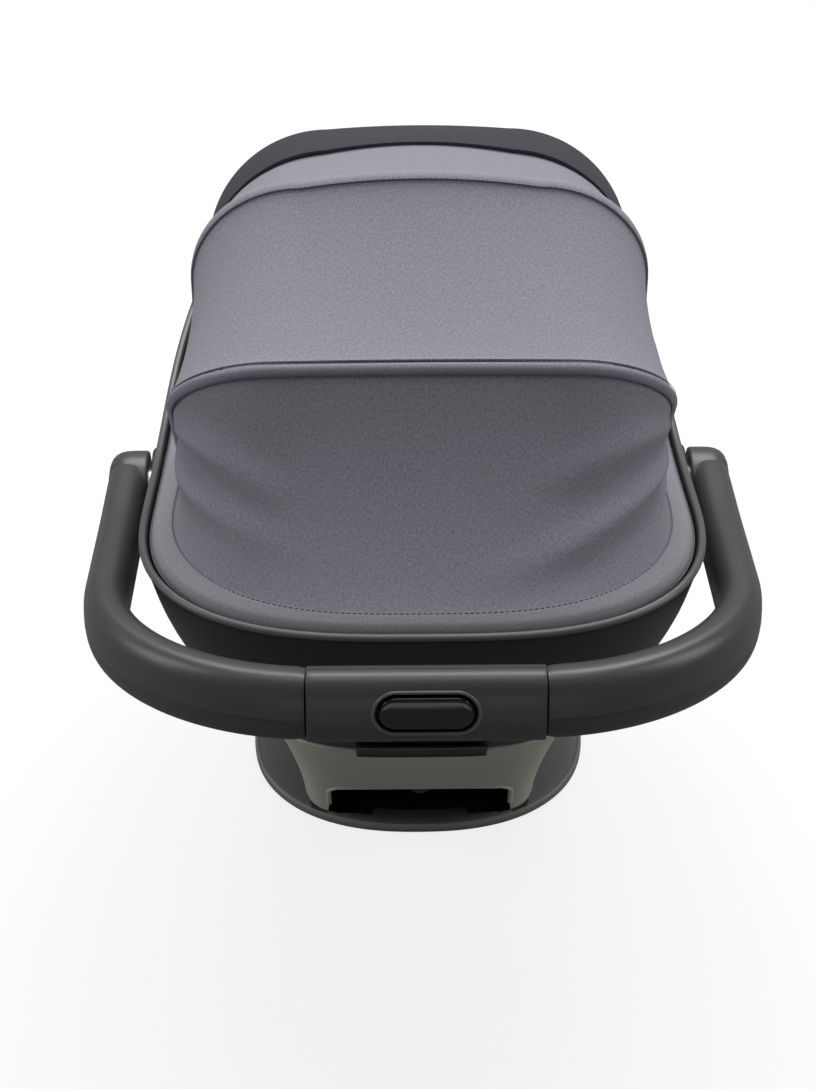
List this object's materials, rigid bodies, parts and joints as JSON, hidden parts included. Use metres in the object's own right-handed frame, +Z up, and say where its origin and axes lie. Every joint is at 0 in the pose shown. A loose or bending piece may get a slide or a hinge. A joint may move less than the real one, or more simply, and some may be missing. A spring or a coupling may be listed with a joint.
{
  "type": "infant car seat",
  "caption": "Infant car seat with bucket shell on an oval base, lay-back carry handle, folding fabric canopy, padded cover and harness.",
  "frame": {"origin": "on the floor, on the base's flat underside, straight under the carry handle's hinge", "axes": "+Z up, +Y towards the baby's head, +X to the baby's left"},
  "size_m": [0.444, 0.6586, 0.5545],
  "materials": {
    "shell_plastic": "fine moulded grain, satin",
    "base_plastic": "fine moulded grain, satin",
    "handle_plastic": "smooth satin moulding",
    "button_gloss": "gloss black",
    "canopy_fabric": "fine melange weave",
    "trim_fabric": "fine melange weave, lighter",
    "visor_fabric": "plain dark weave",
    "pad_fabric": "soft knit, padded",
    "webbing": "ribbed polyester webbing",
    "foam": "expanded bead foam",
    "red_plastic": "glossy moulding",
    "steel": "plain steel",
    "label": "blank plate, smooth"
  },
  "bodies": {
    "shell": {"seat_shell": "shell_plastic", "rocker_base": "base_plastic", "base_lock_bars": "steel", "base_screws": "steel", "label_plate": "label", "lever_bracket": "shell_plastic", "lever_spring": "steel", "adaptor_socket_left": "base_plastic", "adaptor_socket_right": "base_plastic", "belt_guide_left": "shell_plastic", "belt_guide_right": "shell_plastic", "foam_liner": "foam", "seat_cover": "pad_fabric", "head_pad": "trim_fabric", "body_pad": "pad_fabric", "rim_trim": "trim_fabric", "shoulder_strap_left": "webbing", "shoulder_strap_right": "webbing", "lap_strap_left": "webbing", "lap_strap_right": "webbing", "crotch_strap": "webbing", "shoulder_pad_left": "pad_fabric", "shoulder_pad_right": "pad_fabric", "buckle_body": "shell_plastic", "buckle_tongues": "steel", "adjuster_strap": "webbing", "adjuster_housing": "shell_plastic", "pivot_bolts": "steel", "canopy_mount_left": "shell_plastic", "canopy_mount_right": "shell_plastic", "canopy_rear_panel": "canopy_fabric"},
    "handle": {"hub_housing_left": "handle_plastic", "hub_housing_right": "handle_plastic", "hub_cap_left": "handle_plastic", "hub_cap_right": "handle_plastic", "lock_spring_left": "steel", "lock_spring_right": "steel", "handle_upper_left": "handle_plastic", "handle_upper_right": "handle_plastic", "handle_lower_left": "handle_plastic", "handle_lower_right": "handle_plastic", "grip_outer_cover": "handle_plastic", "grip_inner_cover": "handle_plastic", "button_bezel": "handle_plastic", "button_spring": "steel", "release_cables": "steel"},
    "handle_button": {"release_button": "button_gloss", "button_slider": "base_plastic"},
    "lock_left": {"lock_disc_left": "steel"},
    "lock_right": {"lock_disc_right": "steel"},
    "rear_hoop": {"rear_bow": "shell_plastic", "canopy_mid_panel": "canopy_fabric"},
    "front_hoop": {"front_bow": "shell_plastic", "canopy_front_panel": "canopy_fabric"},
    "visor": {"visor_bow": "shell_plastic", "visor_band": "visor_fabric"},
    "buckle_release": {"buckle_button": "red_plastic"},
    "harness_release": {"adjuster_button": "base_plastic"},
    "base_release": {"release_lever": "shell_plastic"}
  },
  "joints": [
    {"name": "handle_hinge", "type": "hinge", "parent": "shell", "child": "handle", "pos_m": [0, 0, 0.28], "axis": [1, 0, 0], "range_deg": [-60, 73]},
    {"name": "handle_button_press", "type": "slide", "parent": "handle", "child": "handle_button", "axis": [0, -0.9563, -0.2924], "range_m": [0, 0.004], "stiffness_N_per_m": 900, "springref_m": -0.002, "deforming": ["button_spring"]},
    {"name": "lock_slide_left", "type": "slide", "parent": "handle", "child": "lock_left", "axis": [1, 0, 0], "range_m": [0, 0.006], "deforming": ["lock_spring_left"]},
    {"name": "lock_slide_right", "type": "slide", "parent": "handle", "child": "lock_right", "axis": [-1, 0, 0], "range_m": [0, 0.006], "deforming": ["lock_spring_right"]},
    {"name": "rear_bow_fold", "type": "hinge", "parent": "shell", "child": "rear_hoop", "pos_m": [0, 0.009, 0.276], "axis": [1, 0, 0], "range_deg": [-22.5, 0]},
    {"name": "front_bow_fold", "type": "hinge", "parent": "rear_hoop", "child": "front_hoop", "pos_m": [0, 0.009, 0.276], "axis": [1, 0, 0], "range_deg": [-21, 0]},
    {"name": "visor_fold", "type": "hinge", "parent": "front_hoop", "child": "visor", "pos_m": [0, 0.009, 0.276], "axis": [1, 0, 0], "range_deg": [-17, 0]},
    {"name": "buckle_button_press", "type": "slide", "parent": "shell", "child": "buckle_release", "axis": [0, 0.2079, -0.9781], "range_m": [0, 0.003], "stiffness_N_per_m": 900, "springref_m": -0.002},
    {"name": "adjuster_button_press", "type": "slide", "parent": "shell", "child": "harness_release", "axis": [0, 0, -1], "range_m": [0, 0.004], "stiffness_N_per_m": 600, "springref_m": -0.002},
    {"name": "base_release_pull", "type": "slide", "parent": "shell", "child": "base_release", "axis": [0, 0, 1], "range_m": [0, 0.005], "stiffness_N_per_m": 900, "springref_m": -0.002, "deforming": ["lever_spring"]}
  ],
  "couplings": [
    {"joint": "front_bow_fold", "follows": "rear_bow_fold", "ratio": 0.93},
    {"joint": "lock_slide_left", "follows": "handle_button_press", "ratio": 1.5},
    {"joint": "lock_slide_right", "follows": "handle_button_press", "ratio": 1.5}
  ]
}
